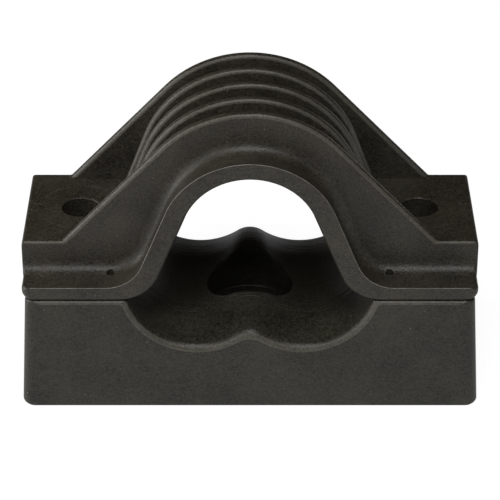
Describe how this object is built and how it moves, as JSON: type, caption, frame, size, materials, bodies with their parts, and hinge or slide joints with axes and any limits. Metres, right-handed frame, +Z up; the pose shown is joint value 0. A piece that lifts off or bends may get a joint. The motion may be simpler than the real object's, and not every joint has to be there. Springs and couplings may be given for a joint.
{
  "type": "trefoil cable cleat",
  "caption": "Moulded cable clamp: cradle base with two flared troughs under a ribbed arch cover, bolted together at both ends.",
  "frame": {"origin": "under the middle of the base, on its resting face", "axes": "+X from bolt to bolt, +Y along the cables, +Z up from the base towards the cover"},
  "size_m": [0.165, 0.077, 0.112],
  "materials": {
    "base_nylon": "moulded, fine texture",
    "cover_nylon": "moulded, fine texture"
  },
  "bodies": {
    "base": {"cradle_base": "base_nylon"},
    "cover": {"arch_cover": "cover_nylon"}
  },
  "joints": [
    {"name": "cover_lift", "type": "slide", "parent": "base", "child": "cover", "axis": [0, 0, 1], "range_m": [0, 0.06]}
  ]
}
